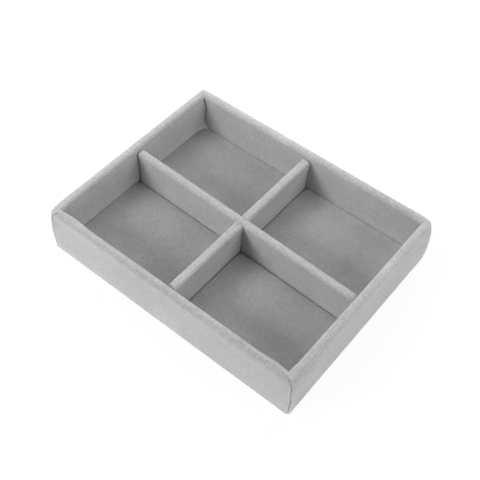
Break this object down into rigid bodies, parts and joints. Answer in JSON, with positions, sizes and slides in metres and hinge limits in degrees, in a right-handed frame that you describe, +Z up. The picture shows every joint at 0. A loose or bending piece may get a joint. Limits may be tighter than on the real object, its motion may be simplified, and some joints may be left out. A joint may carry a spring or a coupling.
{
  "type": "jewelry display tray",
  "caption": "Open rectangular tray wrapped in grey velvet, with crossing dividers and soft padded compartments for small jewelry.",
  "frame": {"origin": "middle of the underside, on the surface that the tray stands on", "axes": "+X along the long walls to the right, +Y from the front long wall to the back one, +Z up"},
  "size_m": [0.122, 0.095, 0.024],
  "materials": {
    "velvet": "soft short-nap velvet, light grey",
    "greyboard": "matte pressed greyboard",
    "card": "matte card",
    "lining": "thin matte felt"
  },
  "bodies": {
    "root": {"base_board": "greyboard", "base_lining": "lining", "front_wall_board": "greyboard", "back_wall_board": "greyboard", "left_wall_board": "greyboard", "right_wall_board": "greyboard", "front_wall_cover": "velvet", "back_wall_cover": "velvet", "left_wall_cover": "velvet", "right_wall_cover": "velvet", "long_divider_board": "greyboard", "cross_divider_board": "greyboard", "long_divider_cover": "velvet", "cross_divider_cover_front": "velvet", "cross_divider_cover_back": "velvet", "floor_card_front_left": "card", "floor_card_front_right": "card", "floor_card_back_left": "card", "floor_card_back_right": "card", "floor_cover_front_left": "velvet", "floor_cover_front_right": "velvet", "floor_cover_back_left": "velvet", "floor_cover_back_right": "velvet"}
  },
  "joints": []
}
